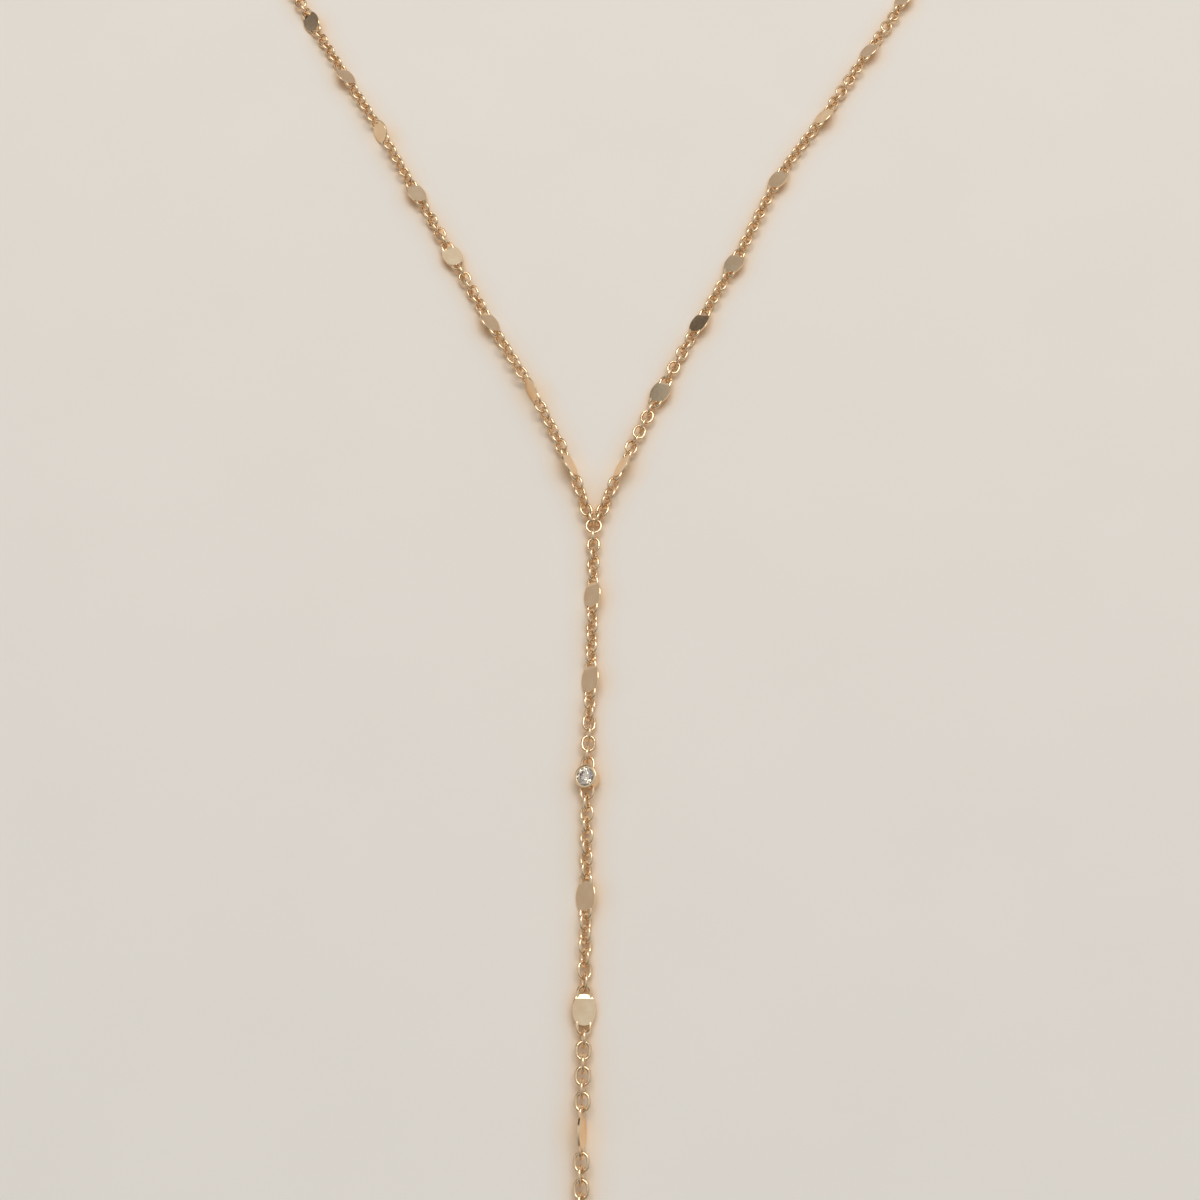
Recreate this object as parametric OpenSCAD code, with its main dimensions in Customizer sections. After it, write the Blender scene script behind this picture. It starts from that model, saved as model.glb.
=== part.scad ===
// Y necklace of fine cable chain, lying flat and closed by its clasp.
// Pressed oval discs are spaced along the chain, and one bezel-set stone sits on the drop.
// X runs across the necklace, Y runs from the end of the drop to the clasp, Z is up.

/* [Chain] */
// Length of a link over its ends
link_length = 1.8; // [1.76:0.01:1.9]
// Width of a link over its sides
link_width = 1.5; // [1.4:0.02:1.6]
// Diameter of the wire of a link
link_wire = 0.32; // [0.26:0.01:0.33]
// Clear gap between two loops that hang in each other
link_play = 0.125; // [0.1:0.005:0.14]

/* [Disc stations] */
// Length of a station over both end loops
station_length = 4.45; // [4.45:0.05:4.8]
// Length of the pressed face
disc_length = 2.7; // [2.2:0.05:2.7]
// Width of the pressed face
disc_width = 2.15; // [1.8:0.05:2.3]
// Thickness of the pressed metal
disc_thickness = 0.2; // [0.16:0.01:0.3]

/* [Stone and setting] */
// Length of the setting over both end loops
setting_length = 4.38; // [4.26:0.02:4.8]
// Diameter of the stone across its girdle
stone_width = 1.8; // [1.7:0.05:2]
// Height of the bezel
bezel_height = 1.3; // [1.2:0.05:1.6]
// Thickness of the bezel wall beside the stone
bezel_wall = 0.2; // [0.15:0.01:0.25]
// Width of the lip that is pressed over the stone's edge
bezel_lip = 0.1; // [0.06:0.01:0.14]
// Clear gap between the stone and its seat
stone_gap = 0.03; // [0.02:0.01:0.05]

/* [Junction] */
// Outer diameter of the junction ring
junction_width = 1.8; // [1.75:0.05:2.2]
// Diameter of its wire
junction_wire = 0.3; // [0.26:0.01:0.32]
// Distance between the two strands where they hang in the ring
junction_spread = 0.5; // [0.46:0.01:0.56]

/* [Clasp] */
// Outer diameter of the clasp's ring
clasp_width = 5; // [4.5:0.1:6]
// Diameter of its body
clasp_wire = 0.8; // [0.7:0.05:0.9]
// Outer diameter of the eye that the chain hangs in
eye_width = 1.8; // [1.7:0.05:2.2]
// Diameter of the eye's wire
eye_wire = 0.4; // [0.3:0.05:0.45]
// Outer diameter of the jump ring in the clasp
clasp_ring_width = 3; // [2.8:0.1:3.6]
// Diameter of its wire
clasp_ring_wire = 0.5; // [0.4:0.05:0.6]

/* [Lie of the loop] */
// Distance from the junction to the top of the loop
loop_height = 159; // [155:0.5:165]

/* [Hidden] */
// Width of the tube that stands for the chain at the back
back_width = 1.3;
// Sides of that tube
back_sides = 8;
// Distance between two rings of that tube
back_step = 3.5;

// Points of the neck loop from the left of the junction, round the back, to its right,
// as they lie when the loop is 159 high
neck_points = [
    [-2.5, 7], [-6.5, 15.7], [-11.2, 24.4], [-15.8, 33.4], [-20.4, 42.4], [-25.3, 51.6],
    [-30.2, 60.5], [-36.5, 72], [-45, 90], [-51, 110], [-50, 130], [-40, 146], [-22, 156],
    [0, 159],
    [22, 156], [40, 146], [50, 130], [51, 110], [46, 90], [38, 72], [33.3, 64],
    [27.4, 54.2], [21.5, 45], [16, 33.4], [11.8, 25.3], [7.3, 16.4], [3, 7]
];
// Points of the drop below the junction
drop_points = [[-0.1, -8], [-0.3, -17], [-0.55, -27], [-0.65, -38], [-0.9, -57], [-1, -68]];
lie = loop_height / max([for (p = neck_points) p.y]);

// Kinds of piece along a strand
LINK = "link";
DISC = "disc";
STONE = "stone";
// Columns of the tables of stations
LINKS = 0; // links before the station
ROLL = 1; // how far its face is rolled from lying flat, in degrees
KIND = 2; // which kind of station it is
left_rows = [
    [5, 58, DISC], [6, -74, DISC], [6, 37, DISC], [6, 5, DISC], [6, 22, DISC], [6, -55, DISC],
    [6, 33, DISC], [6, -32, DISC], [6, -35, DISC], [6, 30, DISC], [6, -20, DISC], [6, 25, DISC],
    [6, -40, DISC]
];
right_rows = [
    [5, -57, DISC], [6, -15, DISC], [6, -30, DISC], [5, -18, DISC], [9, -24, DISC], [7, -38, DISC],
    [8, -34, DISC], [6, -30, DISC], [6, 25, DISC], [6, -35, DISC], [6, 15, DISC], [6, -25, DISC],
    [6, 35, DISC]
];
drop_rows = [
    [5, 42, DISC], [5, 41, DISC], [6, 20, STONE], [7, 37, DISC], [6, -12, DISC], [6, -74, DISC]
];
// Links after the last station of a neck strand and of the drop
neck_tail = 3;
drop_tail = 5;

// Place of the stone and of the discs among the stations of the drop
stone_row = [for (i = [0:len(drop_rows) - 1]) if (drop_rows[i][KIND] == STONE) i][0];
drop_disc_rows = [for (i = [0:len(drop_rows) - 1]) if (drop_rows[i][KIND] == DISC) i];

NODES = concat(
    ["junction_ring", "left_chain", "right_chain", "drop_chain", "stone_setting", "diamond",
     "left_back_chain", "right_back_chain", "clasp", "clasp_ring"],
    [for (i = [1:len(left_rows)]) str("left_disc_", i)],
    [for (i = [1:len(right_rows)]) str("right_disc_", i)],
    [for (i = [1:len(drop_disc_rows)]) str("drop_disc_", i)]
);
node = "all";
$fn = 48;
gold = "#d9ab72";

// Half the length of a piece of a given kind
function half_length(kind) =
    kind == LINK ? link_length / 2 : kind == DISC ? station_length / 2 : setting_length / 2;
// Distance between the centres of two pieces whose end loops hang in each other
function reach(kind, next) = half_length(kind) + half_length(next) - 2 * link_wire - link_play;
pitch = reach(LINK, LINK);

// Distance from the junction ring's centre to the wire of a link that hangs in it
junction_bend = (junction_width - junction_wire) / 2;
junction_hold = junction_bend - junction_wire / 2 - link_play - link_wire / 2;
strand_start = [junction_spread / 2, sqrt(pow(junction_hold, 2) - pow(junction_spread / 2, 2))];
first_arc = (link_length - link_wire) / 2;

// A smooth line through the chosen points, as a list of points close together
route_steps = 12;
function curve(a, b, c, d, t) =
    (2 * b + (c - a) * t + (2 * a - 5 * b + 4 * c - d) * t * t + (3 * b - a - 3 * c + d) * t * t * t) / 2;
function smooth(p) = concat(
    [for (i = [0:len(p) - 2]) for (k = [0:route_steps - 1])
        curve(p[max(i - 1, 0)], p[i], p[i + 1], p[min(i + 2, len(p) - 1)], k / route_steps)],
    [p[len(p) - 1]]
);
// Rows of distance along the line, X and Y
function route(p) = [
    for (i = 0, s = 0; i < len(p); i = i + 1, s = s + (i < len(p) ? norm(p[i] - p[i - 1]) : 0))
        [s, p[i].x, p[i].y]
];
function reversed(p) = [for (i = [len(p) - 1:-1:0]) p[i]];
function route_length(r) = r[len(r) - 1][0];
function at(r, s) = [
    lookup(s, [for (row = r) [row[0], row[1]]]),
    lookup(s, [for (row = r) [row[0], row[2]]])
];
function heading(r, s, half) = let (step = at(r, s + half) - at(r, s - half)) atan2(step.y, step.x);

neck_line = smooth(concat([[-strand_start.x, strand_start.y]], lie * neck_points, [strand_start]));
left_route = route(neck_line);
right_route = route(reversed(neck_line));
drop_route = route(smooth(concat([[0, -junction_hold]], lie * drop_points)));
neck_length = route_length(left_route);

// Distance from one station's centre, or from the start of the strand, to the next station's
function spacing(rows, k) =
    (k == 0 ? first_arc : reach(rows[k - 1][KIND], LINK))
    + (rows[k][LINKS] - 1) * pitch + reach(LINK, rows[k][KIND]);
function station_arcs(rows) = let (last = len(rows) - 1) [
    for (k = 0, s = spacing(rows, 0); k <= last; k = k + 1, s = s + (k <= last ? spacing(rows, k) : 0))
        s
];
// The turn beyond quarter turns that takes a run of links from one roll to the next
function spare_turn(from, to, links) =
    let (turn = to - from - 90 * (links + 1)) turn - 180 * round(turn / 180);

// Columns of the list of pieces along a strand, in their order
ARC = 0; // distance of its middle along the route
TURN = 1; // roll about the route, in degrees
PIECE = 2; // which kind of piece it is
HEIGHT = 3; // height of its middle above the surface
function pieces(rows, tail) =
    let (arcs = station_arcs(rows), last = len(rows) - 1)
    concat(
        [for (k = [0:last]) let (
            n = rows[k][LINKS],
            from = k == 0 ? 0 : rows[k - 1][ROLL],
            turn = 90 + spare_turn(from, rows[k][ROLL], n) / (n + 1),
            last_link = arcs[k] - reach(LINK, rows[k][KIND])
        ) each concat(
            [for (j = [1:n]) [last_link - (n - j) * pitch, from + j * turn, LINK]],
            [[arcs[k], rows[k][ROLL], rows[k][KIND]]]
        )],
        [for (j = [1:tail])
            [arcs[last] + reach(rows[last][KIND], LINK) + (j - 1) * pitch, rows[last][ROLL] + 90 * j, LINK]]
    );

// Radius of the stone and of the bezel round it, and how much the bezel narrows at its foot
stone_radius = stone_width / 2;
bezel_radius = stone_radius + bezel_wall;
foot_taper = 0.12;

// A piece that stands higher holds its neighbours up, each lower than the last by this much
sag = 0.05;
junction_height = link_width / 2 + sag;
// Height of a piece's middle when it rests on the surface at its roll
function loop_rest(turn) = (link_width - link_wire) / 2 * abs(sin(turn)) + link_wire / 2;
function disc_rest(turn) = disc_width / 2 * abs(sin(turn)) + disc_thickness / 2 * abs(cos(turn));
function setting_rest(turn) = max(
    (bezel_radius - foot_taper) * abs(sin(turn)) + bezel_height / 2 * abs(cos(turn)),
    bezel_radius * abs(sin(turn)) + bezel_height / 4 * abs(cos(turn))
);
function rest_height(p) =
    p[PIECE] == LINK ? loop_rest(p[TURN])
    : p[PIECE] == DISC ? max(loop_rest(p[TURN]), disc_rest(p[TURN]))
    : setting_rest(p[TURN]);
function laid(list) = [
    for (i = [0:len(list) - 1]) concat(
        list[i],
        max(concat([junction_height - sag * (i + 1)],
            [for (j = [0:len(list) - 1]) rest_height(list[j]) - sag * abs(i - j)]))
    )
];
left_pieces = laid(pieces(left_rows, neck_tail));
right_pieces = laid(pieces(right_rows, neck_tail));
drop_pieces = laid(pieces(drop_rows, drop_tail));
function end_arc(list) = list[len(list) - 1][ARC] + link_length / 2;

// The clasp and its ring lie across the top of the loop, linked to each other
clasp_roll = 20;
clasp_ring_roll = 60;
clasp_link = (clasp_width + clasp_ring_width) / 2 - clasp_wire - clasp_ring_wire - link_play;
clasp_arc = (neck_length - clasp_link) / 2;
clasp_height = (clasp_ring_width - clasp_ring_wire) / 2 * sin(clasp_ring_roll) + clasp_ring_wire / 2;
eye_offset = (clasp_width + eye_width) / 2 - eye_wire;
clasp_reach = eye_offset + eye_width / 2 + link_play;
clasp_ring_reach = clasp_ring_width / 2 + link_play;

// The model is moved so that the middle of its outline is the origin
outline_low = at(drop_route, end_arc(drop_pieces)).y;
outline_high = max([for (p = neck_line) p.y]) + clasp_width / 2;
outline_left = min([for (p = neck_line) p.x]);
outline_right = max([for (p = neck_line) p.x]);
origin = [(outline_left + outline_right) / 2, (outline_low + outline_high) / 2];

// Puts a shape that lies along X in the place of a piece of a strand
module on_strand(r, p) {
    spot = at(r, p[ARC]) - origin;
    translate([spot.x, spot.y, p[HEIGHT]])
        rotate([0, 0, heading(r, p[ARC], half_length(p[PIECE]))])
            rotate([p[TURN], 0, 0])
                children();
}

// Half a ring of round wire, open towards -X
module bend(width, wire) {
    rotate([0, 0, -90])
        rotate_extrude(angle = 180)
            translate([(width - wire) / 2, 0])
                circle(d = wire);
}

module ring(width, wire) {
    rotate_extrude()
        translate([(width - wire) / 2, 0])
            circle(d = wire);
}

// A straight wire, whose diameter may differ where it starts
module wire_along_x(from, to, y, wire, start_wire) {
    translate([from, y, 0])
        rotate([0, 90, 0])
            cylinder(h = to - from, d1 = start_wire, d2 = wire);
}

module link() {
    straight = (link_length - link_width) / 2;
    side = (link_width - link_wire) / 2;
    for (turn = [0, 180])
        rotate([0, 0, turn]) {
            translate([straight, 0, 0])
                bend(link_width, link_wire);
            wire_along_x(-straight, straight, side, link_wire, link_wire);
        }
}

// The wire loop at each end of a station. Its legs run inwards to a given distance from
// the middle, and are as thick there as given.
module end_loops(length, legs_from, leg_wire) {
    straight = (length - link_width) / 2;
    side = (link_width - link_wire) / 2;
    for (turn = [0, 180])
        rotate([0, 0, turn]) {
            translate([straight, 0, 0])
                bend(link_width, link_wire);
            for (y = [-side, side])
                wire_along_x(legs_from, straight, y, link_wire, leg_wire);
        }
}

// Outline of the pressed face: two flat side arcs cut off by a round end arc
side_share = 0.68; // of the face's length, from its middle to where the two side arcs would meet
module disc_outline() {
    side_bulge = disc_width / 2;
    side_radius = (pow(disc_length * side_share, 2) + pow(side_bulge, 2)) / (2 * side_bulge);
    intersection() {
        side_arc(side_radius - side_bulge, side_radius);
        side_arc(side_bulge - side_radius, side_radius);
        circle(d = disc_length);
    }
}

module side_arc(y, radius) {
    translate([0, y])
        circle(r = radius);
}

disc_bite = 0.6; // length of a loop's legs inside the pressed face, where they grow thin
leg_share = 0.8; // thickness of a leg at its end inside the face, as a share of the face's
module disc_station() {
    translate([0, 0, -disc_thickness / 2])
        linear_extrude(disc_thickness)
            disc_outline();
    end_loops(station_length, disc_length / 2 - disc_bite, leg_share * disc_thickness);
}

// Heights of the stone's parts, and heights in the setting above its middle
girdle = 0.04 * stone_width;
crown = 0.16 * stone_width;
pavilion = 0.43 * stone_width;
lip_height = 0.1;
girdle_top = bezel_height / 2 - lip_height - stone_gap;
girdle_low = girdle_top - girdle;
seat_depth = 0.3;
lip_taper = 0.06;
bezel_bite = 0.15; // length of a loop's legs inside the bezel

module stone_setting() {
    top = bezel_height / 2;
    shoulder = top - lip_height;
    seat = girdle_low - stone_gap;
    hole = stone_radius - seat_depth;
    rotate_extrude()
        polygon([
            [bezel_radius - foot_taper, -top],
            [bezel_radius, -top / 2],
            [bezel_radius, shoulder],
            [bezel_radius - lip_taper, top],
            [stone_radius - bezel_lip, top],
            [stone_radius + stone_gap, shoulder],
            [stone_radius + stone_gap, seat],
            [hole, seat - seat_depth],
            [hole, -top]
        ]);
    end_loops(setting_length, bezel_radius - bezel_bite, link_wire);
}

// Columns of the stone's table, from its flat top down to its point
SHARE = 0; // distance of the corners from the axis, as a share of the stone's radius
LEVEL = 1; // height above the setting's middle
CORNERS = 2; // number of corners
SHIFT = 3; // turn of the first corner, in degrees
stone_rows = [
    [0.56, girdle_top + crown, 8, 22.5],
    [0.78, girdle_top + 0.58 * crown, 8, 0],
    [1, girdle_top, 16, 0],
    [1, girdle_low, 16, 0],
    [0.28, girdle_low - 0.76 * pavilion, 8, 0],
    [0.03, girdle_low - pavilion, 8, 22.5]
];
slice = 0.001;
module diamond_stone() {
    hull()
        for (row = stone_rows)
            translate([0, 0, row[LEVEL]])
                rotate([0, 0, row[SHIFT]])
                    linear_extrude(slice)
                        circle(r = stone_radius * row[SHARE], $fn = row[CORNERS]);
}

module junction_ring() {
    color(gold)
        translate([-origin.x, -origin.y, junction_height])
            ring(junction_width, junction_wire);
}

module strand_chain(r, list) {
    color(gold)
        for (p = list)
            if (p[PIECE] == LINK)
                on_strand(r, p)
                    link();
}

// Puts a shape in the place of a station of a strand, counted from 0
module at_station(r, list, k) {
    on_strand(r, [for (p = list) if (p[PIECE] != LINK) p][k])
        children();
}

module disc(r, list, k) {
    color(gold)
        at_station(r, list, k)
            disc_station();
}

module setting() {
    color(gold)
        at_station(drop_route, drop_pieces, stone_row)
            stone_setting();
}

module diamond() {
    color("#e8edf0")
        at_station(drop_route, drop_pieces, stone_row)
            diamond_stone();
}

// A tube along part of a strand, swept as one closed skin, that rises to the clasp at its end
back_radius = back_width / 2;
function back_height(s, to) =
    max(back_radius * cos(180 / back_sides), clasp_height - 2 * sag * (to - s));
module back_tube(r, from, to) {
    rings = ceil((to - from) / back_step);
    corners = [
        for (i = [0:rings]) let (
            s = from + (to - from) * i / rings,
            p = at(r, s) - origin,
            turn = heading(r, s, back_radius)
        ) for (k = [0:back_sides - 1]) let (a = 360 * (k + 0.5) / back_sides) [
            p.x - back_radius * cos(a) * sin(turn),
            p.y + back_radius * cos(a) * cos(turn),
            back_height(s, to) + back_radius * sin(a)
        ]
    ];
    function corner(i, k) = i * back_sides + k % back_sides;
    polyhedron(
        corners,
        concat(
            [[for (k = [0:back_sides - 1]) corner(0, k)]],
            [for (i = [0:rings - 1]) for (k = [0:back_sides - 1])
                [corner(i, k), corner(i + 1, k), corner(i + 1, k + 1), corner(i, k + 1)]],
            [[for (k = [back_sides - 1:-1:0]) corner(rings, k)]]
        )
    );
}

module left_back_chain() {
    color(gold)
        back_tube(left_route, end_arc(left_pieces) + link_play, clasp_arc - clasp_reach);
}

module right_back_chain() {
    color(gold)
        back_tube(right_route, end_arc(right_pieces) + link_play, clasp_arc - clasp_ring_reach);
}

module at_back(r, half, roll) {
    spot = at(r, clasp_arc) - origin;
    translate([spot.x, spot.y, clasp_height])
        rotate([0, 0, heading(r, clasp_arc, half)])
            rotate([roll, 0, 0])
                children();
}

module clasp() {
    color(gold)
        at_back(left_route, clasp_width / 2, clasp_roll) {
            ring(clasp_width, clasp_wire);
            translate([-eye_offset, 0, 0])
                ring(eye_width, eye_wire);
        }
}

module clasp_ring() {
    color(gold)
        at_back(right_route, clasp_ring_width / 2, clasp_ring_roll)
            ring(clasp_ring_width, clasp_ring_wire);
}

function shown(name) = node == "all" || node == name;
if (shown("junction_ring")) junction_ring();
if (shown("left_chain")) strand_chain(left_route, left_pieces);
if (shown("right_chain")) strand_chain(right_route, right_pieces);
if (shown("drop_chain")) strand_chain(drop_route, drop_pieces);
if (shown("stone_setting")) setting();
if (shown("diamond")) diamond();
if (shown("left_back_chain")) left_back_chain();
if (shown("right_back_chain")) right_back_chain();
if (shown("clasp")) clasp();
if (shown("clasp_ring")) clasp_ring();
for (k = [0:len(left_rows) - 1])
    if (shown(str("left_disc_", k + 1))) disc(left_route, left_pieces, k);
for (k = [0:len(right_rows) - 1])
    if (shown(str("right_disc_", k + 1))) disc(right_route, right_pieces, k);
for (i = [0:len(drop_disc_rows) - 1])
    if (shown(str("drop_disc_", i + 1))) disc(drop_route, drop_pieces, drop_disc_rows[i]);
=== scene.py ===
"""Looks of the y necklace: gold links, pressed discs, a bezel-set stone and a clasp on a pale floor."""
import math

import bmesh
import bpy
from mathutils import Matrix, Vector


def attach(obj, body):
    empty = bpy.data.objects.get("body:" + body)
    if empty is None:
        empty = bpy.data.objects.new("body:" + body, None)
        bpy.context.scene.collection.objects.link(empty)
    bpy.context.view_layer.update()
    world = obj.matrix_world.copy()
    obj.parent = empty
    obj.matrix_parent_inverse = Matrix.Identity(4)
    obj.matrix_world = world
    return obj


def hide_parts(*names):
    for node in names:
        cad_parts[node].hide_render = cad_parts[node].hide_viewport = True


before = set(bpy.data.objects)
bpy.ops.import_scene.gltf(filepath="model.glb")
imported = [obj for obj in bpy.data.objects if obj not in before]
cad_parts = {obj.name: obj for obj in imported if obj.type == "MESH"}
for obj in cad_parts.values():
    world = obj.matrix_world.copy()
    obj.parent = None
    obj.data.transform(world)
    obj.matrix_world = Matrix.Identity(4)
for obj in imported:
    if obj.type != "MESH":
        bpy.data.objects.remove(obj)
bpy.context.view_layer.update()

# Sizes of the necklace in millimetres, most of them as in the part's source
LINK_LENGTH = 1.8
LINK_WIDTH = 1.5
LINK_WIRE = 0.32
LINK_PLAY = 0.125
STATION_LENGTH = 4.45
DISC_LENGTH = 2.7
DISC_WIDTH = 2.15
DISC_THICKNESS = 0.2
SIDE_SHARE = 0.68  # of the disc's length, from its middle to where its two side arcs would meet
DISC_BITE = 0.6  # length of a loop's legs inside the disc
LEG_SHARE = 0.45  # height of a leg at its end inside the disc, as a share of the wire's
DISC_EDGE = 0.03  # width of the bevel along the disc's edges
SLOPE_START = 0.95
SLOPE_ANGLE = math.radians(9)
SETTING_LENGTH = 4.38
STONE_WIDTH = 1.8
BEZEL_HEIGHT = 1.3
BEZEL_WALL = 0.2
FOOT_TAPER = 0.12
FOOT_SHARE = 0.9  # width of the bezel's foot as a share of the bezel's
BEZEL_LIP = 0.1
BEZEL_BITE = 0.15  # length of a loop's legs inside the bezel
LIP_HEIGHT = 0.1
LIP_ROUNDING = 0.07
SEAT_HEIGHT = 0.14
SEAT_DEPTH = 0.3
STONE_GAP = 0.03
# Heights of the stone's girdle, of what is above it and of what is below it
GIRDLE = 0.04 * STONE_WIDTH
CROWN = 0.16 * STONE_WIDTH
PAVILION = 0.43 * STONE_WIDTH
JUNCTION_WIDTH = 1.8
JUNCTION_WIRE = 0.3
JUNCTION_SPREAD = 0.5
CLASP_WIDTH = 5
CLASP_WIRE = 0.8
EYE_WIDTH = 1.8
EYE_WIRE = 0.4
CLASP_RING_WIDTH = 3
CLASP_RING_WIRE = 0.5
CLASP_ROLL = 20
CLASP_RING_ROLL = 60
MM = 0.001
CLOSE = 0.001  # how near to a plane a corner or a face counts as in it

# Corners round each ring or bar, and sides of its wire
LINK_CORNERS, LINK_SIDES = 16, 6
LOOP_CORNERS, LOOP_SIDES = 20, 10
JUNCTION_CORNERS, JUNCTION_SIDES = 28, 8
CLASP_CORNERS, CLASP_SIDES = 48, 14
EYE_CORNERS, EYE_SIDES = 24, 10
CLASP_RING_CORNERS, CLASP_RING_SIDES = 32, 10
DISC_CORNERS, SIDE_ARC_CORNERS = 48, 96
BEZEL_CORNERS = 40
# Greatest angle, in degrees, between two faces that are shaded as one
WIRE_SHADING = 80
EDGE_SHADING = 40

# Points of the neck loop and of the drop, as in the part's source
NECK_POINTS = [
    (-2.5, 7), (-6.5, 15.7), (-11.2, 24.4), (-15.8, 33.4), (-20.4, 42.4), (-25.3, 51.6),
    (-30.2, 60.5), (-36.5, 72), (-45, 90), (-51, 110), (-50, 130), (-40, 146), (-22, 156),
    (0, 159),
    (22, 156), (40, 146), (50, 130), (51, 110), (46, 90), (38, 72), (33.3, 64),
    (27.4, 54.2), (21.5, 45), (16, 33.4), (11.8, 25.3), (7.3, 16.4), (3, 7),
]
DROP_POINTS = [(-0.1, -8), (-0.3, -17), (-0.55, -27), (-0.65, -38), (-0.9, -57), (-1, -68)]
ROUTE_STEPS = 12

# Stations along each strand: links before it, roll in degrees, kind
LINK, DISC, STONE = "link", "disc", "stone"
LEFT_ROWS = [
    (5, 58, DISC), (6, -74, DISC), (6, 37, DISC), (6, 5, DISC), (6, 22, DISC), (6, -55, DISC),
    (6, 33, DISC), (6, -32, DISC), (6, -35, DISC), (6, 30, DISC), (6, -20, DISC), (6, 25, DISC),
    (6, -40, DISC),
]
RIGHT_ROWS = [
    (5, -57, DISC), (6, -15, DISC), (6, -30, DISC), (5, -18, DISC), (9, -24, DISC), (7, -38, DISC),
    (8, -34, DISC), (6, -30, DISC), (6, 25, DISC), (6, -35, DISC), (6, 15, DISC), (6, -25, DISC),
    (6, 35, DISC),
]
DROP_ROWS = [
    (5, 42, DISC), (5, 41, DISC), (6, 20, STONE), (7, 37, DISC), (6, -12, DISC), (6, -74, DISC),
]
NECK_TAIL = 3
DROP_TAIL = 5
SAG = 0.05


# Where every piece lies
def half_length(kind):
    """Half the length of a piece over its end loops."""
    return {LINK: LINK_LENGTH, DISC: STATION_LENGTH, STONE: SETTING_LENGTH}[kind] / 2


def reach(kind, following):
    """Distance between the middles of two pieces that hang in each other."""
    return half_length(kind) + half_length(following) - 2 * LINK_WIRE - LINK_PLAY


PITCH = reach(LINK, LINK)
JUNCTION_BEND = (JUNCTION_WIDTH - JUNCTION_WIRE) / 2
JUNCTION_HOLD = JUNCTION_BEND - JUNCTION_WIRE / 2 - LINK_PLAY - LINK_WIRE / 2
STRAND_START = (JUNCTION_SPREAD / 2, math.sqrt(JUNCTION_HOLD ** 2 - (JUNCTION_SPREAD / 2) ** 2))
JUNCTION_HEIGHT = LINK_WIDTH / 2 + SAG
FIRST_ARC = (LINK_LENGTH - LINK_WIRE) / 2


def smooth_line(points):
    """A smooth line through the points, as many points close together."""
    points = [Vector(p) for p in points]
    line = []
    for i in range(len(points) - 1):
        a, b = points[max(i - 1, 0)], points[i]
        c, d = points[i + 1], points[min(i + 2, len(points) - 1)]
        for k in range(ROUTE_STEPS):
            t = k / ROUTE_STEPS
            line.append((2 * b + (c - a) * t + (2 * a - 5 * b + 4 * c - d) * t * t
                         + (3 * b - a - 3 * c + d) * t ** 3) / 2)
    return line + [points[-1]]


class Route:
    """A line on the surface that is read by the distance along it."""

    def __init__(self, line):
        self.line = line
        self.arcs = [0.0]
        for a, b in zip(line, line[1:]):
            self.arcs.append(self.arcs[-1] + (b - a).length)
        self.length = self.arcs[-1]

    def at(self, s):
        s = min(max(s, 0), self.length)
        k = next(i for i in range(len(self.arcs) - 1) if s <= self.arcs[i + 1])
        share = (s - self.arcs[k]) / (self.arcs[k + 1] - self.arcs[k])
        return self.line[k].lerp(self.line[k + 1], share)

    def heading(self, s, half):
        step = self.at(s + half) - self.at(s - half)
        return math.atan2(step.y, step.x)


neck_line = smooth_line([(-STRAND_START[0], STRAND_START[1]), *NECK_POINTS, STRAND_START])
left_route = Route(neck_line)
right_route = Route(neck_line[::-1])
drop_route = Route(smooth_line([(0, -JUNCTION_HOLD), *DROP_POINTS]))


# Columns of the list of pieces along a strand: distance along it, roll in degrees, kind, height
ARC, TURN, KIND, HEIGHT = 0, 1, 2, 3


def run_of_links(start, links, roll, turn):
    return [[start + j * PITCH, roll + (j + 1) * turn, LINK] for j in range(links)]


def strand_pieces(rows, tail):
    """Distance, roll and kind of each piece of a strand, in their order."""
    listed = []
    middle, kind, roll = FIRST_ARC - reach(LINK, LINK), LINK, 0
    for links, face, station in rows:
        first = middle + reach(kind, LINK)
        spare = face - roll - 90 * (links + 1)
        spare -= 180 * math.floor(spare / 180 + 0.5)
        listed += run_of_links(first, links, roll, 90 + spare / (links + 1))
        middle = first + (links - 1) * PITCH + reach(LINK, station)
        kind, roll = station, face
        listed.append([middle, roll, kind])
    return listed + run_of_links(middle + reach(kind, LINK), tail, roll, 90)


def rest_height(piece):
    """Height of a piece's middle when it rests on the surface at its roll."""
    turn = math.radians(piece[TURN])
    up, flat = abs(math.sin(turn)), abs(math.cos(turn))
    loop = (LINK_WIDTH - LINK_WIRE) / 2 * up + LINK_WIRE / 2
    if piece[KIND] == LINK:
        return loop
    if piece[KIND] == DISC:
        return max(loop, DISC_WIDTH / 2 * up + DISC_THICKNESS / 2 * flat)
    bezel = STONE_WIDTH / 2 + BEZEL_WALL
    foot = (bezel - FOOT_TAPER) * up + BEZEL_HEIGHT / 2 * flat
    return max(foot, bezel * up + BEZEL_HEIGHT / 4 * flat)


def laid(listed):
    """Adds the height of each piece, which its neighbours hold up."""
    rests = [rest_height(p) for p in listed]
    for i, piece in enumerate(listed):
        held = max(rest - SAG * abs(i - j) for j, rest in enumerate(rests))
        piece.append(max(held, JUNCTION_HEIGHT - SAG * (i + 1)))
    return listed


left_pieces = laid(strand_pieces(LEFT_ROWS, NECK_TAIL))
right_pieces = laid(strand_pieces(RIGHT_ROWS, NECK_TAIL))
drop_pieces = laid(strand_pieces(DROP_ROWS, DROP_TAIL))

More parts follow.
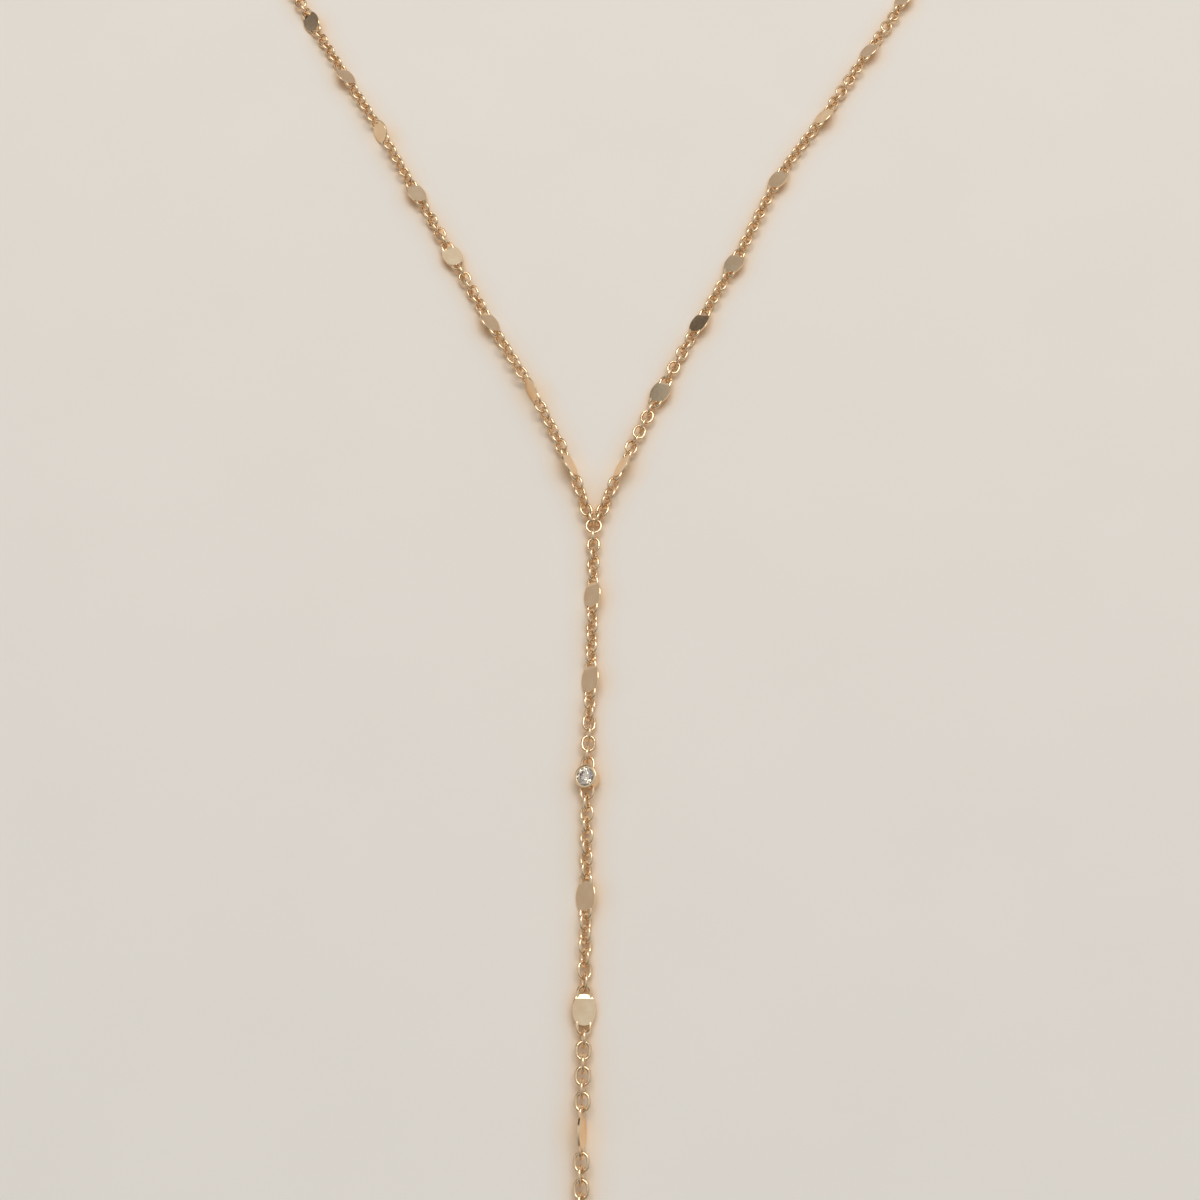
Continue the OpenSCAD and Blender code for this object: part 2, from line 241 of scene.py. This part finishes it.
# The clasp at the top of the loop
CLASP_LINK = (CLASP_WIDTH + CLASP_RING_WIDTH) / 2 - CLASP_WIRE - CLASP_RING_WIRE - LINK_PLAY
CLASP_ARC = (left_route.length - CLASP_LINK) / 2
CLASP_RING_BEND = (CLASP_RING_WIDTH - CLASP_RING_WIRE) / 2
CLASP_HEIGHT = CLASP_RING_BEND * math.sin(math.radians(CLASP_RING_ROLL)) + CLASP_RING_WIRE / 2
EYE_OFFSET = (CLASP_WIDTH + EYE_WIDTH) / 2 - EYE_WIRE
# From the middle of the clasp, or of its ring, to the inner side of the bend of the link that hangs there
EYE_HOLD = EYE_OFFSET + EYE_WIDTH / 2 - EYE_WIRE - LINK_WIRE
CLASP_RING_HOLD = CLASP_RING_WIDTH / 2 - CLASP_RING_WIRE - LINK_WIRE

# The middle of the outline is the origin
drop_end = drop_pieces[-1][ARC] + LINK_LENGTH / 2
outline_y = (drop_route.at(drop_end).y, max(p.y for p in neck_line) + CLASP_WIDTH / 2)
outline_x = (min(p.x for p in neck_line), max(p.x for p in neck_line))
ORIGIN = Vector((sum(outline_x) / 2, sum(outline_y) / 2))


def place(route, arc, half, roll, height):
    """Where a shape that is modelled along X goes, as a matrix."""
    spot = route.at(arc) - ORIGIN
    return (
        Matrix.Scale(MM, 4)
        @ Matrix.Translation((spot.x, spot.y, height))
        @ Matrix.Rotation(route.heading(arc, half), 4, "Z")
        @ Matrix.Rotation(math.radians(roll), 4, "X")
    )


def piece_place(route, piece):
    return place(route, piece[ARC], half_length(piece[KIND]), piece[TURN], piece[HEIGHT])


# Modelling by hand, in millimetres
def open_edit(piece, mode="VERT"):
    bpy.ops.object.select_all(action="DESELECT")
    piece.select_set(True)
    bpy.context.view_layer.objects.active = piece
    bpy.ops.object.mode_set(mode="EDIT")
    bpy.ops.mesh.select_mode(type=mode)
    bpy.ops.mesh.select_all(action="DESELECT")


def close_edit():
    bpy.ops.object.mode_set(mode="OBJECT")


def pick_vertices(piece, wanted):
    bpy.ops.mesh.select_all(action="DESELECT")
    mesh = bmesh.from_edit_mesh(piece.data)
    for vertex in mesh.verts:
        vertex.select = wanted(vertex.co)
    mesh.select_flush_mode()
    bmesh.update_edit_mesh(piece.data)


def pick_edges(piece, wanted):
    bpy.ops.mesh.select_all(action="DESELECT")
    mesh = bmesh.from_edit_mesh(piece.data)
    for edge in mesh.edges:
        edge.select = all(wanted(v.co) for v in edge.verts)
    mesh.select_flush_mode()
    bmesh.update_edit_mesh(piece.data)


def pick_faces(piece, wanted):
    bpy.ops.mesh.select_all(action="DESELECT")
    mesh = bmesh.from_edit_mesh(piece.data)
    for face in mesh.faces:
        face.select = wanted(face.calc_center_median(), face.normal)
    mesh.select_flush_mode()
    bmesh.update_edit_mesh(piece.data)


def finish_with(piece, kind, **settings):
    """Adds a modifier and applies it."""
    bpy.ops.object.select_all(action="DESELECT")
    piece.select_set(True)
    bpy.context.view_layer.objects.active = piece
    modifier = piece.modifiers.new(kind.lower(), kind)
    for name, value in settings.items():
        setattr(modifier, name, value)
    bpy.ops.object.modifier_apply(modifier=modifier.name)


def merge_with(piece, others, operation):
    for other in others:
        finish_with(piece, "BOOLEAN", operation=operation, object=other, solver="EXACT")
        bpy.data.objects.remove(other)


def wire_ring(width, wire, sides, wire_sides, x=0.0):
    bpy.ops.object.select_all(action="DESELECT")
    bpy.ops.mesh.primitive_torus_add(
        location=(x, 0, 0), major_radius=(width - wire) / 2, minor_radius=wire / 2,
        major_segments=sides, minor_segments=wire_sides,
    )
    bpy.ops.object.transform_apply(location=True)
    return bpy.context.object


def round_bar(radius, depth, sides, y=0.0):
    bpy.ops.object.select_all(action="DESELECT")
    bpy.ops.mesh.primitive_cylinder_add(vertices=sides, radius=radius, depth=depth, location=(0, y, 0))
    bpy.ops.object.transform_apply(location=True)
    return bpy.context.object


def smooth_edges(piece, angle):
    bpy.ops.object.select_all(action="DESELECT")
    piece.select_set(True)
    bpy.context.view_layer.objects.active = piece
    bpy.ops.object.shade_smooth_by_angle(angle=math.radians(angle), keep_sharp_edges=True)


def model_link():
    """A round wire ring drawn out a little along X."""
    link = wire_ring(LINK_WIDTH, LINK_WIRE, LINK_CORNERS, LINK_SIDES)
    straight = (LINK_LENGTH - LINK_WIDTH) / 2
    open_edit(link)
    for side in (-1, 1):
        pick_vertices(link, lambda co: co.x * side > CLOSE)
        bpy.ops.transform.translate(value=(side * straight, 0, 0))
    close_edit()
    smooth_edges(link, WIRE_SHADING)
    return link


def end_loop(side, middle_x, legs_x, leg_share):
    """A wire loop whose legs end inside its piece, pressed there to a share of their height."""
    loop = wire_ring(LINK_WIDTH, LINK_WIRE, LOOP_CORNERS, LOOP_SIDES, side * middle_x)
    open_edit(loop)
    bpy.ops.mesh.select_all(action="SELECT")
    bpy.ops.mesh.bisect(
        plane_co=(side * middle_x, 0, 0), plane_no=(side, 0, 0), use_fill=True, clear_inner=True
    )
    bpy.ops.mesh.select_mode(type="FACE")
    pick_faces(loop, lambda centre, normal: abs(centre.x - side * middle_x) < CLOSE)
    bpy.ops.mesh.extrude_region_move(TRANSFORM_OT_translate={"value": (side * (legs_x - middle_x), 0, 0)})
    bpy.ops.transform.resize(value=(1, 1, leg_share))
    close_edit()
    return loop


def model_disc():
    """The pressed oval plate, whose faces slope off at its -X end, with a wire loop at each end."""
    side_run = DISC_LENGTH * SIDE_SHARE
    bulge = DISC_WIDTH / 2
    side_radius = (side_run ** 2 + bulge ** 2) / (2 * bulge)
    disc = round_bar(DISC_LENGTH / 2, DISC_THICKNESS, DISC_CORNERS)
    side_arcs = [
        round_bar(side_radius, 2 * DISC_THICKNESS, SIDE_ARC_CORNERS, side * (side_radius - bulge))
        for side in (-1, 1)
    ]
    merge_with(disc, side_arcs, "INTERSECT")
    open_edit(disc)
    for face in (-1, 1):
        bpy.ops.mesh.select_all(action="SELECT")
        bpy.ops.mesh.bisect(
            plane_co=(-SLOPE_START, 0, face * DISC_THICKNESS / 2),
            plane_no=(-math.sin(SLOPE_ANGLE), 0, face * math.cos(SLOPE_ANGLE)),
            use_fill=True, clear_outer=True,
        )
    bpy.ops.mesh.select_mode(type="EDGE")
    bpy.ops.mesh.select_all(action="DESELECT")
    bpy.ops.mesh.edges_select_sharp(sharpness=math.radians(45))
    bpy.ops.mesh.bevel(offset=DISC_EDGE, segments=1)
    close_edit()
    loop_x = (STATION_LENGTH - LINK_WIDTH) / 2
    legs_x = DISC_LENGTH / 2 - DISC_BITE
    merge_with(disc, [end_loop(end, loop_x, legs_x, LEG_SHARE) for end in (-1, 1)], "UNION")
    open_edit(disc, "FACE")
    for tilt in (0, SLOPE_ANGLE):
        for face in (-1, 1):
            lean = Vector((-math.sin(tilt), 0, face * math.cos(tilt)))
            pick_faces(disc, lambda centre, normal: normal.dot(lean) > 0.9999)
            bpy.ops.mesh.region_to_loop()
            bpy.ops.mesh.mark_sharp()
            bpy.ops.mesh.select_mode(type="FACE")
    close_edit()
    smooth_edges(disc, EDGE_SHADING)
    return disc


def model_setting():
    """The bezel round the stone, with its seat, its pressed lip and a loop at both ends."""
    stone = STONE_WIDTH / 2
    outside = stone + BEZEL_WALL
    top = BEZEL_HEIGHT / 2
    hole = stone - SEAT_DEPTH
    setting = round_bar(outside, BEZEL_HEIGHT, BEZEL_CORNERS)
    open_edit(setting, "FACE")
    pick_faces(setting, lambda centre, normal: normal.z < -0.99)
    bpy.ops.transform.resize(value=(FOOT_SHARE, FOOT_SHARE, 1))
    bpy.ops.mesh.inset(thickness=outside * FOOT_SHARE - hole)
    bpy.ops.mesh.delete(type="FACE")
    pick_faces(setting, lambda centre, normal: normal.z > 0.99)
    bpy.ops.mesh.inset(thickness=BEZEL_WALL + BEZEL_LIP)
    bpy.ops.mesh.extrude_region_move(TRANSFORM_OT_translate={"value": (0, 0, -LIP_HEIGHT)})
    grow = (stone + STONE_GAP) / (stone - BEZEL_LIP)
    bpy.ops.transform.resize(value=(grow, grow, 1))
    bpy.ops.mesh.extrude_region_move(TRANSFORM_OT_translate={"value": (0, 0, -SEAT_HEIGHT)})
    bpy.ops.mesh.extrude_region_move(TRANSFORM_OT_translate={"value": (0, 0, -SEAT_DEPTH)})
    narrow = hole / (stone + STONE_GAP)
    bpy.ops.transform.resize(value=(narrow, narrow, 1))
    bpy.ops.mesh.delete(type="FACE")
    bpy.ops.mesh.select_mode(type="EDGE")
    bpy.ops.mesh.select_non_manifold()
    bpy.ops.mesh.bridge_edge_loops()
    pick_edges(setting, lambda co: co.z > top - CLOSE)
    bpy.ops.mesh.bevel(offset=LIP_ROUNDING, segments=3, profile=0.5)
    close_edit()
    loop_x = (SETTING_LENGTH - LINK_WIDTH) / 2
    merge_with(setting, [end_loop(end, loop_x, outside - BEZEL_BITE, 1) for end in (-1, 1)], "UNION")
    smooth_edges(setting, EDGE_SHADING)
    return setting


def model_diamond():
    """A round brilliant, as the hull of its rings of corners."""
    stone = STONE_WIDTH / 2
    girdle_top = BEZEL_HEIGHT / 2 - LIP_HEIGHT - STONE_GAP
    girdle_low = girdle_top - GIRDLE
    # Share of the stone's radius, height, number of corners, turn of the first corner in degrees
    rings = [
        (0.56, girdle_top + CROWN, 8, 22.5),
        (0.78, girdle_top + 0.58 * CROWN, 8, 0),
        (1, girdle_top, 16, 0),
        (1, girdle_low, 16, 0),
        (0.28, girdle_low - 0.76 * PAVILION, 8, 0),
        (0.03, girdle_low - PAVILION, 8, 22.5),
    ]
    made = []
    for share, level, corners, turn in rings:
        bpy.ops.object.select_all(action="DESELECT")
        bpy.ops.mesh.primitive_circle_add(
            vertices=corners, radius=share * stone,
            location=(0, 0, level), rotation=(0, 0, math.radians(turn)),
        )
        made.append(bpy.context.object)
    for ring in made:
        ring.select_set(True)
    bpy.ops.object.join()
    diamond = bpy.context.object
    bpy.ops.object.transform_apply(location=True, rotation=True)
    open_edit(diamond)
    bpy.ops.mesh.select_all(action="SELECT")
    bpy.ops.mesh.convex_hull()
    bpy.ops.mesh.select_all(action="SELECT")
    bpy.ops.mesh.dissolve_limited(angle_limit=math.radians(1))
    bpy.ops.mesh.select_all(action="SELECT")
    bpy.ops.mesh.normals_make_consistent(inside=False)
    close_edit()
    return diamond


def model_clasp():
    """A plain round clasp with an eye for the chain."""
    clasp = wire_ring(CLASP_WIDTH, CLASP_WIRE, CLASP_CORNERS, CLASP_SIDES)
    merge_with(clasp, [wire_ring(EYE_WIDTH, EYE_WIRE, EYE_CORNERS, EYE_SIDES, -EYE_OFFSET)], "UNION")
    smooth_edges(clasp, EDGE_SHADING)
    return clasp


def laid_down(name, node, models_and_places):
    """Copies modelled shapes to their places and joins the copies into the piece that stands for a node."""
    copies = []
    for model, spot in models_and_places:
        copy = bpy.data.objects.new(name, model.data.copy())
        bpy.context.collection.objects.link(copy)
        copy.matrix_world = spot
        copies.append(copy)
    bpy.ops.object.select_all(action="DESELECT")
    for copy in copies:
        copy.select_set(True)
    bpy.context.view_layer.objects.active = copies[0]
    if len(copies) > 1:
        bpy.ops.object.join()
    bpy.ops.object.transform_apply(location=True, rotation=True, scale=True)
    piece = bpy.context.object
    piece.name = name
    piece.data.name = name
    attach(piece, "root")
    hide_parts(node)
    return piece


# Finishes
def polished_gold():
    """Warm yellow gold with a soft polish, fine scratches and a little tarnish."""
    material = bpy.data.materials.new("polished_gold")
    material.use_nodes = True
    nodes, links = material.node_tree.nodes, material.node_tree.links
    shader = nodes["Principled BSDF"]
    shader.inputs["Metallic"].default_value = 1
    place_node = nodes.new("ShaderNodeTexCoord")

    cloud = nodes.new("ShaderNodeTexNoise")
    cloud.inputs["Scale"].default_value = 650
    cloud.inputs["Detail"].default_value = 3
    links.new(place_node.outputs["Object"], cloud.inputs["Vector"])
    tone = nodes.new("ShaderNodeValToRGB")
    tone.color_ramp.elements[0].position = 0.3
    tone.color_ramp.elements[0].color = (0.83, 0.59, 0.36, 1)
    tone.color_ramp.elements[1].position = 0.7
    tone.color_ramp.elements[1].color = (0.91, 0.69, 0.45, 1)
    links.new(cloud.outputs["Fac"], tone.inputs["Fac"])
    links.new(tone.outputs["Color"], shader.inputs["Base Color"])

    wear = nodes.new("ShaderNodeTexNoise")
    wear.inputs["Scale"].default_value = 2600
    wear.inputs["Detail"].default_value = 4
    links.new(place_node.outputs["Object"], wear.inputs["Vector"])
    polish = nodes.new("ShaderNodeMapRange")
    polish.inputs["To Min"].default_value = 0.08
    polish.inputs["To Max"].default_value = 0.2
    links.new(wear.outputs["Fac"], polish.inputs["Value"])
    links.new(polish.outputs["Result"], shader.inputs["Roughness"])

    bump = nodes.new("ShaderNodeBump")
    bump.inputs["Strength"].default_value = 0.12
    bump.inputs["Distance"].default_value = 0.00001
    links.new(wear.outputs["Fac"], bump.inputs["Height"])
    links.new(bump.outputs["Normal"], shader.inputs["Normal"])
    return material


def clear_stone():
    """A clear cut stone that bends and splits the light."""
    material = bpy.data.materials.new("clear_stone")
    material.use_nodes = True
    nodes, links = material.node_tree.nodes, material.node_tree.links
    shader = nodes["Principled BSDF"]
    shader.inputs["Transmission Weight"].default_value = 1
    shader.inputs["IOR"].default_value = 2.2
    shader.inputs["Roughness"].default_value = 0.02
    place_node = nodes.new("ShaderNodeTexCoord")
    cloud = nodes.new("ShaderNodeTexNoise")
    cloud.inputs["Scale"].default_value = 900
    links.new(place_node.outputs["Object"], cloud.inputs["Vector"])
    tint = nodes.new("ShaderNodeValToRGB")
    tint.color_ramp.elements[0].color = (0.97, 0.69, 0.5, 1)
    tint.color_ramp.elements[1].color = (1, 0.93, 0.76, 1)
    links.new(cloud.outputs["Fac"], tint.inputs["Fac"])
    links.new(tint.outputs["Color"], shader.inputs["Base Color"])
    return material


def pale_floor():
    """A smooth cream surface whose colour is tinted tan close round the chain: painted shade and a painted
    gold bounce.
    """
    material = bpy.data.materials.new("pale_floor")
    material.use_nodes = True
    nodes, links = material.node_tree.nodes, material.node_tree.links
    shader = nodes["Principled BSDF"]
    shader.inputs["Roughness"].default_value = 0.85
    shader.inputs["Specular IOR Level"].default_value = 0.15
    place_node = nodes.new("ShaderNodeTexCoord")
    cloud = nodes.new("ShaderNodeTexNoise")
    cloud.inputs["Scale"].default_value = 60
    links.new(place_node.outputs["Object"], cloud.inputs["Vector"])
    tone = nodes.new("ShaderNodeValToRGB")
    tone.color_ramp.elements[0].color = (0.89, 0.835, 0.757, 1)
    tone.color_ramp.elements[1].color = (0.92, 0.865, 0.787, 1)
    links.new(cloud.outputs["Fac"], tone.inputs["Fac"])
    # Painted shade and painted gold bounce light: occlusion by the chain close by turns the floor's colour
    # tan
    near = nodes.new("ShaderNodeAmbientOcclusion")
    near.samples = 6
    near.inputs["Distance"].default_value = 0.003
    # Tan painted shade where the chain is close, fading to the plain cream tone in the open
    painted_shade_and_glow = nodes.new("ShaderNodeValToRGB")
    painted_shade_and_glow.color_ramp.elements[0].position = 0.3
    painted_shade_and_glow.color_ramp.elements[0].color = (1.08, 0.79, 0.46, 1)
    painted_shade_and_glow.color_ramp.elements[1].position = 1
    painted_shade_and_glow.color_ramp.elements[1].color = (1, 1, 1, 1)
    links.new(near.outputs["AO"], painted_shade_and_glow.inputs["Fac"])
    painted_shade_colour = nodes.new("ShaderNodeVectorMath")
    painted_shade_colour.operation = "MULTIPLY"
    links.new(tone.outputs["Color"], painted_shade_colour.inputs[0])
    links.new(painted_shade_and_glow.outputs["Color"], painted_shade_colour.inputs[1])
    links.new(painted_shade_colour.outputs["Vector"], shader.inputs["Base Color"])
    return material


gold = polished_gold()
stone_look = clear_stone()


def finish_piece(piece, material):
    piece.data.materials.clear()
    piece.data.materials.append(material)


# The pieces
link = model_link()
disc = model_disc()
setting = model_setting()
diamond = model_diamond()
clasp = model_clasp()
junction = wire_ring(JUNCTION_WIDTH, JUNCTION_WIRE, JUNCTION_CORNERS, JUNCTION_SIDES)
clasp_ring = wire_ring(CLASP_RING_WIDTH, CLASP_RING_WIRE, CLASP_RING_CORNERS, CLASP_RING_SIDES)
for ring in (junction, clasp_ring):
    smooth_edges(ring, WIRE_SHADING)

# Every disc of the visible strands and of the drop has its sloping end at the top
same_way, turned_round = Matrix(), Matrix.Rotation(math.pi, 4, "Z")
gold_pieces = []
for side, route, listed, way in (
    ("left", left_route, left_pieces, turned_round),
    ("right", right_route, right_pieces, turned_round),
    ("drop", drop_route, drop_pieces, same_way),
):
    links = [(link, piece_place(route, p)) for p in listed if p[KIND] == LINK]
    gold_pieces.append(laid_down(f"{side}_chain_links", f"{side}_chain", links))
    plates = [(disc, piece_place(route, p) @ way) for p in listed if p[KIND] == DISC]
    for number, plate in enumerate(plates, 1):
        gold_pieces.append(laid_down(f"{side}_plate_{number}", f"{side}_disc_{number}", [plate]))

stone_place = piece_place(drop_route, next(p for p in drop_pieces if p[KIND] == STONE))
gold_pieces.append(laid_down("bezel", "stone_setting", [(setting, stone_place)]))
stone_piece = laid_down("cut_stone", "diamond", [(diamond, stone_place)])

junction_place = Matrix.Scale(MM, 4) @ Matrix.Translation((-ORIGIN.x, -ORIGIN.y, JUNCTION_HEIGHT))
gold_pieces.append(laid_down("junction_wire", "junction_ring", [(junction, junction_place)]))
clasp_place = place(left_route, CLASP_ARC, CLASP_WIDTH / 2, CLASP_ROLL, CLASP_HEIGHT)
gold_pieces.append(laid_down("clasp_body", "clasp", [(clasp, clasp_place)]))
clasp_ring_place = place(right_route, CLASP_ARC, CLASP_RING_WIDTH / 2, CLASP_RING_ROLL, CLASP_HEIGHT)
gold_pieces.append(laid_down("clasp_jump_ring", "clasp_ring", [(clasp_ring, clasp_ring_place)]))


def back_run(listed, hold):
    """The links and discs that run on from a strand to the loop that its last link hangs in."""
    end = CLASP_ARC - hold
    to_disc = reach(LINK, DISC)
    rhythm = [(PITCH, LINK)] * 3 + [(to_disc, DISC), (to_disc, LINK)] + [(PITCH, LINK)] * 2
    period = sum(step for step, kind in rhythm)
    middle, roll = listed[-1][ARC], listed[-1][TURN]
    run = []
    while end - middle > period + 3 * PITCH:
        for step, kind in rhythm:
            middle += step
            roll += 90
            run.append([middle, roll, kind])
    left_over = end - LINK_LENGTH / 2 + LINK_WIRE - middle
    count = max(1, round(left_over / PITCH))
    for j in range(count):
        middle += left_over / count
        roll += 90
        run.append([middle, roll, LINK])
    for piece in run:
        rise = CLASP_HEIGHT - 2 * SAG * abs(end - piece[ARC])
        piece.append(max(LINK_WIDTH / 2, rest_height(piece), rise))
    return run


models = {LINK: link, DISC: disc}
for side, route, listed, hold in (
    ("left", left_route, left_pieces, EYE_HOLD),
    ("right", right_route, right_pieces, CLASP_RING_HOLD),
):
    run = [(models[p[KIND]], piece_place(route, p)) for p in back_run(listed, hold)]
    gold_pieces.append(laid_down(f"{side}_back_run", f"{side}_back_chain", run))

for model in (link, disc, setting, diamond, clasp, junction, clasp_ring):
    bpy.data.objects.remove(model)
for piece in gold_pieces:
    finish_piece(piece, gold)
finish_piece(stone_piece, stone_look)

# The floor, the light and the camera
FLOOR_SIZE = 3
FLOOR_LEVEL = -0.00002
bpy.ops.object.select_all(action="DESELECT")
bpy.ops.mesh.primitive_plane_add(size=FLOOR_SIZE, location=(0, 0, FLOOR_LEVEL))
floor = bpy.context.object
floor.name = "floor"
bpy.ops.object.transform_apply(location=True)
floor.data.materials.append(pale_floor())


# The point that the light is aimed at
LIT_SPOT = Vector((0, -0.05, 0))


def soft_light(name, location, size, power, colour):
    data = bpy.data.lights.new(name, "AREA")
    data.shape = "RECTANGLE"
    data.size, data.size_y = size
    data.energy = power
    data.color = colour
    lamp = bpy.data.objects.new(name, data)
    bpy.context.collection.objects.link(lamp)
    lamp.location = location
    aim = LIT_SPOT - Vector(location)
    lamp.rotation_euler = aim.to_track_quat("-Z", "Y").to_euler()


soft_light("key", location=(0.04, 0.23, 0.6), size=(0.56, 0.24), power=1.75, colour=(1, 0.94, 0.88))


def part_of(nodes, links, value, low, high, from_share, to_share):
    """A share that runs from one value to another while its input runs from low to high."""
    part = nodes.new("ShaderNodeMapRange")
    part.inputs["From Min"].default_value = low
    part.inputs["From Max"].default_value = high
    part.inputs["To Min"].default_value = from_share
    part.inputs["To Max"].default_value = to_share
    links.new(value, part.inputs["Value"])
    return part.outputs["Result"]


# The room's dark spot: the way to it, the cosines where it begins and is full, and how dark it is
DARK_WAY = (-0.605, 0.649, 0.462)
DARK_RIM, DARK_CORE = 0.934, 0.946
DARK_SHARE = 0.92
# The room grows dimmer towards the front, down to this share at this Y
FRONT_Y = -0.6
FRONT_SHARE = 0.4


def soft_room():
    """A pale ceiling over greyer walls, with something dark low on the upper left."""
    world = bpy.data.worlds.new("room")
    world.use_nodes = True
    nodes, links = world.node_tree.nodes, world.node_tree.links
    background = nodes["Background"]
    way = nodes.new("ShaderNodeTexCoord")
    parts = nodes.new("ShaderNodeSeparateXYZ")
    links.new(way.outputs["Generated"], parts.inputs["Vector"])
    tone = nodes.new("ShaderNodeValToRGB")
    tone.color_ramp.elements[0].position = 0.3
    tone.color_ramp.elements[0].color = (0.51, 0.485, 0.48, 1)
    tone.color_ramp.elements[1].position = 0.7
    tone.color_ramp.elements[1].color = (0.66, 0.7, 0.74, 1)
    links.new(parts.outputs["Z"], tone.inputs["Fac"])
    links.new(tone.outputs["Color"], background.inputs["Color"])
    towards = nodes.new("ShaderNodeVectorMath")
    towards.operation = "DOT_PRODUCT"
    towards.inputs[1].default_value = DARK_WAY
    links.new(way.outputs["Generated"], towards.inputs[0])
    dark = part_of(nodes, links, towards.outputs["Value"], DARK_RIM, DARK_CORE, 0, DARK_SHARE)
    front = part_of(nodes, links, parts.outputs["Y"], FRONT_Y, 0, FRONT_SHARE, 1)
    lit = nodes.new("ShaderNodeMath")
    lit.operation = "SUBTRACT"
    links.new(front, lit.inputs[0])
    links.new(dark, lit.inputs[1])
    links.new(lit.outputs["Value"], background.inputs["Strength"])
    return world


bpy.context.scene.world = soft_room()

VIEW_TILT = math.radians(22.5)
VIEW_DISTANCE = 0.1278
VIEW_SPOT = Vector(((0.64 - ORIGIN.x) * MM, (-8.05 - ORIGIN.y) * MM, 0.0006))
camera_data = bpy.data.cameras.new("camera")
camera_data.sensor_width = 36
camera_data.lens = 38.52
camera_data.clip_start = 0.005
camera = bpy.data.objects.new("camera", camera_data)
bpy.context.collection.objects.link(camera)
camera.location = VIEW_SPOT + VIEW_DISTANCE * Vector((0, -math.sin(VIEW_TILT), math.cos(VIEW_TILT)))
camera.rotation_euler = (VIEW_TILT, 0, 0)
bpy.context.scene.camera = camera
bpy.context.scene.view_settings.view_transform = "Standard"
